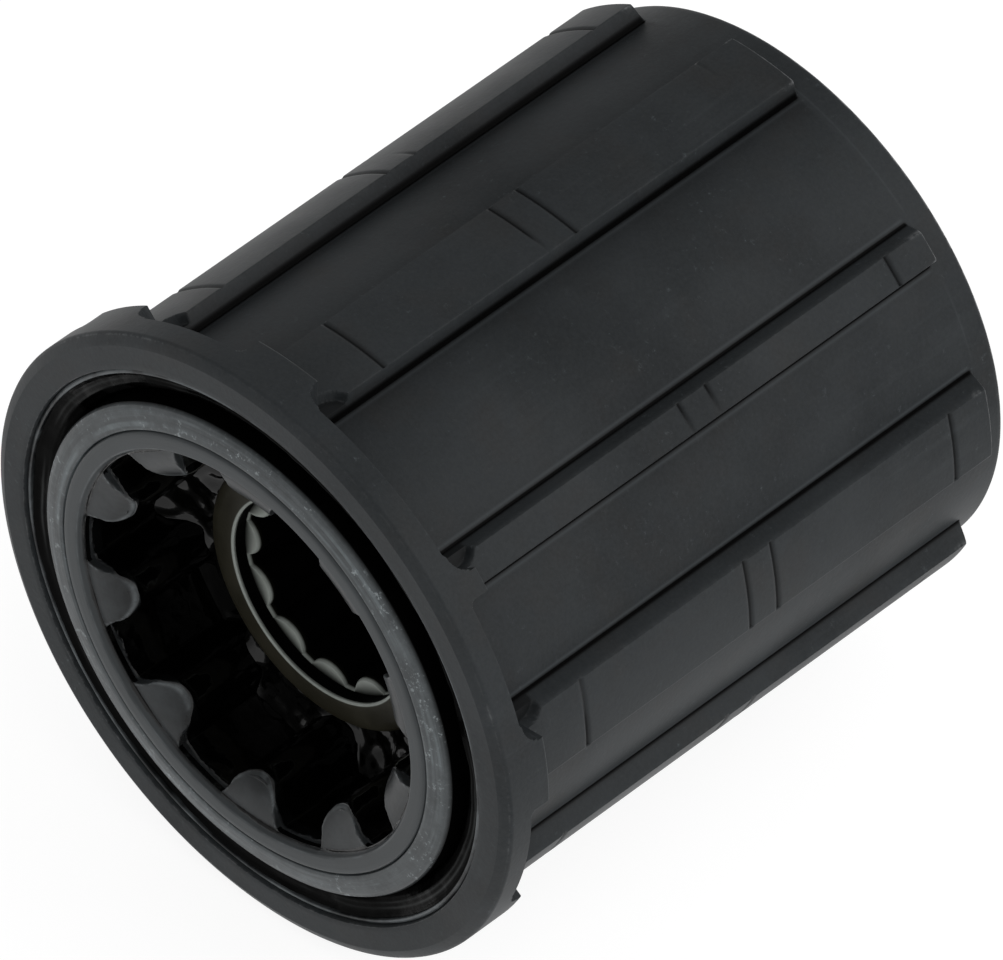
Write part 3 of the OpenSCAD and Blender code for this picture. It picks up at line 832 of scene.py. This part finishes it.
def make_face_ring():
    """The hardened ring pressed on behind the socket mouth, painted near black along its side as shade in
    the gap beside it.
    """
    corners = ((RIM_R, 0.24), (13.27, 0.08), (13.45, 0.04), (14.35, 0.17), (14.62, 0.28), (RING_R, 0.5),
               (RING_R, 5.3), (14.55, RING_BACK), (RIM_R, RING_BACK))
    # The grease value past y 0.36 paints shade down the ring's side
    ring = turned("face_ring", corners, 360, 0.3, 0.02, 13, 0.36)
    stand_for(ring, "inner_body", "inboard_ring", ring_steel())


# ---------------------------------------------------------------- seals

def make_seal_case():
    """The pressed case held in the flange's recess."""
    corners = ((RECESS_R, 0.8), (RECESS_R, RECESS_FLOOR), (15.6, RECESS_FLOOR), (15.6, 1.35), (16.25, 1.35),
               (16.25, 0.7), (16.33, 0.66), (16.45, 0.72))
    # The grease value past y 0.7 paints shade on the case inside the recess
    case = turned("seal_shell", corners, 360, 0.4, 0.03, grease_from=0.7)
    stand_for(case, "carrier", "seal_case", case_steel())


def make_seal_lip():
    """The rubber lip in the case: lumpy in front, with two pale lines round it painted as highlights, in
    patches.
    """
    angles = np.linspace(0, TURN, 480, endpoint=False)
    section = outline(((16.25, 1.33), (15.62, 1.33), (15.14, 1.54), (14.97, 2.35), (14.8, 2.4), (14.8, 2.1),
                       (14.98, 1.5), (15.4, 1.12), (16.0, 1.02), (16.25, 0.82)), 0.06, 0.04)
    r = section[:, 0][:, None] + 0 * angles
    y = section[:, 1][:, None] + 0 * angles
    lumps = wave_noise(r * np.cos(angles), y, r * np.sin(angles), 8, 4, 0.12)
    front = smooth_step((1.3 - y) / 0.15)
    y = y - 0.14 * front * lumps
    highlight_patches = smooth_step(0.35 + 0.9 * wave_noise(3 * np.cos(angles), 0, 3 * np.sin(angles), 17, 4, 0.25))
    # Painted highlight: two pale lines on the lip's front
    line = np.exp(-((r - 15.8) / 0.06) ** 2) + 0.6 * np.exp(-((r - 15.5) / 0.05) ** 2)
    lip = mesh_from_grid("seal_lip", lathe_points(angles, r, y), {"line": line * front * highlight_patches}, 45)
    stand_for(lip, "carrier", "inboard_seal", rubber_look("lip_rubber", 0.014))


# ---------------------------------------------------------------- fixing bolt

def drive_radius(angles):
    """Inside radius of the bolt's drive: a round hole with bumps standing into it."""
    pitch = TURN / DRIVE_COUNT
    off = (angles + pitch / 2) % pitch - pitch / 2
    centre = DRIVE_TIP + DRIVE_BUMP
    reach = DRIVE_BUMP ** 2 - (centre * np.sin(off)) ** 2
    bump = centre * np.cos(off) - np.sqrt(np.clip(reach, 0, None))
    return np.where(reach > 0, np.minimum(DRIVE_ROOT, bump), DRIVE_ROOT)


def make_bolt():
    """The hollow fixing bolt, from its front face round the outside and back through the drive."""
    shell = Shell(np.linspace(0, TURN, 432, endpoint=False), "bore", "face")
    # Painted highlight: the face value paints the inner rim of the front face pale
    for r, back, face in ((6.1, 0.06, 1.6), (6.17, 0.005, 1.6), (6.27, 0, 0), (6.7, 0.05, 0), (7.3, 0.12, 0),
                          (7.74, 0.18, 0), (7.8, 0.22, 0), (7.97, 0.44, 0), (BOLT_R, 0.52, 0)):
        shell.row(r, BOLT_END + back, face=face)
    for r, y in ((BOLT_R, 8.1), (BOLT_R, BOLT_HEAD), (8.8, BOLT_HEAD), (BOLT_HEAD_R, 11.2),
                 (BOLT_HEAD_R, 14.1), (8.6, BOLT_HEAD_END), (6.5, BOLT_HEAD_END)):
        shell.row(r, y)
    drive = drive_radius(shell.angles)
    # Painted shade: the bore value paints the drive near black behind its front faces
    for y, wider, bore, face in ((14.55, 0.25, 1, 0), (14.3, 0, 1, 0), (11, 0, 1, 0), (8, 0, 1, 0),
                                 (6.7, 0, 1, 0), (6.5, 0, 0.7, 0), (6.36, 0.03, 0, 1), (6.27, 0.12, 0, 1)):
        shell.row(np.minimum(drive + wider, DRIVE_MOUTH), y, bore=bore, face=face)
    for r, y in ((DRIVE_MOUTH, 6.25), (6.1, 6.2), (6.1, BOLT_END + 0.2)):
        shell.row(r, y, bore=1.0)
    stand_for(shell.mesh("hollow_bolt", 35), "inner_body", "fixing_bolt", bolt_steel())


# ---------------------------------------------------------------- grease in the socket

def make_grease():
    """Lumpy grease lying on the socket floor round the bolt."""
    angles = np.linspace(0, TURN, 360, endpoint=False)
    inner = BOLT_R + 0.03
    outer = socket_radius(angles, np.array([6.0]))[0] - 0.04
    share = np.linspace(0, 1, 22)[:, None]
    r = inner + (outer - inner) * share
    x, z = r * np.cos(angles), r * np.sin(angles)
    swell = np.clip(0.45 + 0.75 * wave_noise(x, 0 * x, z, 21, 4, 0.11), 0, 1.3)
    top = 7.3 - 1.45 * swell - 0.8 * (share - 0.45) ** 2
    bottom = np.full(r.shape, SOCKET_FLOOR - 0.03)
    points = np.concatenate([lathe_points(angles, r, top), lathe_points(angles, r[::-1], bottom)])
    blob = mesh_from_grid("socket_grease", points, {}, 60)
    blob.data.materials.append(grease_look())
    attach(blob, "inner_body")


# ---------------------------------------------------------------- outboard end

def make_bearing_cup():
    """The outboard cup, with its ball race and the wide mouth the cap sits in."""
    corners = ((CUP_BORE, 21.8), (10.2, 21.8), (10.5, 22.1), (10.5, 26.2), (11.4, 26.2), (11.4, 28.3),
               (11.48, 28.3), (11.6, 28.9), (11.95, 29.45), (12.5, 29.8), (13.1, 29.92), (13.1, 30.2),
               (13.4, 30.5), (13.7, 31.9), (13.7, 34.5), (12.7, 34.5), (12.7, 34.0), (12.55, 33.0),
               (12.2, 32.25), (11.6, 31.5), (10.8, 31.0), (10, 30.76), (9.4, 30.7), (CUP_BORE, 30.7))
    look = steel("cup_steel", rgb(0.03, 0.031, 0.033), rgb(0.05, 0.052, 0.055), 0.5, 0.38)
    stand_for(turned("bearing_cup", corners, 256, 0.8, 0.03), "inner_body", "outboard_cup",
              look)


def make_dust_cap():
    """The pressed cap in the cup's mouth and the rubber lip on its inner edge."""
    corners = ((12.68, 34.05), (12.68, 34.7), (12.55, 34.85), (8.7, 34.85), (8.4, 34.8), (8.4, 34.55),
               (12.2, 34.55), (12.35, 34.4), (12.35, 34.05))
    cap = turned("end_cap", corners, 256, 0.5, 0.06)
    stand_for(cap, "inner_body", "dust_cap", seal_steel())
    corners = ((8.4, 34.55), (8.4, 34.85), (8.9, 34.85), (8.85, 35.02), (8.6, 35.1), (8.0, 35.05),
               (7.6, 34.75), (7.6, 34.6))
    lip = turned("end_lip", corners, 256, 0.3, 0.05)
    stand_for(lip, "inner_body", "dust_cap_seal", rubber_look())


def finish_cad_nodes():
    """Materials for the CAD solids that are shown as they are."""
    pawl = steel("pawl_steel", rgb(0.12, 0.12, 0.125), rgb(0.2, 0.2, 0.21), 0.9, 0.32)
    spring = steel("spring_steel", rgb(0.3, 0.3, 0.31), rgb(0.42, 0.42, 0.43), 1.0, 0.26)
    shim = steel("shim_steel", rgb(0.22, 0.22, 0.22), rgb(0.34, 0.34, 0.34), 1.0, 0.3)
    ball = ball_steel()
    rubber = rubber_look()
    looks = {"bolt_washer": shim, "inboard_balls": ball, "outboard_balls": ball, "shim_thin": shim,
             "shim_thick": shim, "outboard_seal": rubber}
    for k in range(1, PAWL_COUNT + 1):
        looks[f"pawl_{k}"] = pawl
        looks[f"pawl_spring_{k}"] = spring
    for name, look in looks.items():
        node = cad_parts[name]
        node.data.materials.clear()
        node.data.materials.append(look)


# ---------------------------------------------------------------- studio

def make_floor():
    """A large pale lit table top."""
    bpy.ops.mesh.primitive_plane_add(size=6, location=(0, 0.02, -FLANGE_R * MM - 0.0002))
    floor = bpy.context.object
    floor.name = "floor"
    n = Nodes("floor_white")
    n.surface(Base_Color=rgb(0.25, 0.25, 0.25), Roughness=0.9, Specular_IOR_Level=0.0,
              Emission_Color=rgb(1, 1, 1), Emission_Strength=0.86)
    floor.data.materials.append(n.material)


def make_light(name, where, size, power):
    """A square area light aimed at the object."""
    data = bpy.data.lights.new(name, "AREA")
    data.size = size
    data.energy = power
    light = bpy.data.objects.new(name, data)
    light.location = where
    aim = Vector((0, 0.02, 0)) - Vector(where)
    light.rotation_mode = "QUATERNION"
    light.rotation_quaternion = aim.to_track_quat("-Z", "Y")
    bpy.context.scene.collection.objects.link(light)


def make_world():
    """White surroundings, dimmer overhead towards the left."""
    world = bpy.data.worlds.new("studio")
    world.use_nodes = True
    tree = world.node_tree
    place = tree.nodes.new("ShaderNodeTexCoord")
    toward = tree.nodes.new("ShaderNodeVectorMath")
    toward.operation = "DOT_PRODUCT"
    toward.inputs[1].default_value = (-0.77, 0.0, 0.64)
    tree.links.new(place.outputs["Generated"], toward.inputs[0])
    level = tree.nodes.new("ShaderNodeMapRange")
    level.interpolation_type = "SMOOTHSTEP"
    for key, value in (("From Min", 0.05), ("From Max", 0.7), ("To Min", 0.98), ("To Max", 0.5)):
        level.inputs[key].default_value = value
    tree.links.new(toward.outputs["Value"], level.inputs["Value"])
    background = tree.nodes["Background"]
    background.inputs["Color"].default_value = rgb(1, 1, 1)
    tree.links.new(level.outputs[0], background.inputs["Strength"])
    bpy.context.scene.world = world
    bpy.context.scene.view_settings.view_transform = "Standard"


def make_camera():
    """The photograph's camera: far back, with a long lens."""
    azimuth, elevation = math.radians(CAMERA_AZIMUTH), math.radians(CAMERA_ELEVATION)
    back = Vector((math.sin(azimuth) * math.cos(elevation), -math.cos(azimuth) * math.cos(elevation),
                   math.sin(elevation)))
    turn = (-back).to_track_quat("-Z", "Y")
    right, up = turn @ Vector((1, 0, 0)), turn @ Vector((0, 1, 0))
    target = Vector((0, AIM_Y, 0)) + AIM_RIGHT * right + AIM_UP * up
    data = bpy.data.cameras.new("camera")
    data.sensor_width = 36
    data.lens = CAMERA_LENS
    camera = bpy.data.objects.new("camera", data)
    camera.location = (target + back * CAMERA_DISTANCE) * MM
    camera.rotation_mode = "QUATERNION"
    camera.rotation_quaternion = turn
    bpy.context.scene.collection.objects.link(camera)
    bpy.context.scene.camera = camera


make_camera()
make_world()
make_floor()
make_light("soft_key", (0.64, 0.47, 0.58), 0.8, 2.2)
make_carrier()
make_inner_body()
make_face_ring()
make_seal_case()
make_seal_lip()
make_bolt()
make_grease()
make_bearing_cup()
make_dust_cap()
finish_cad_nodes()
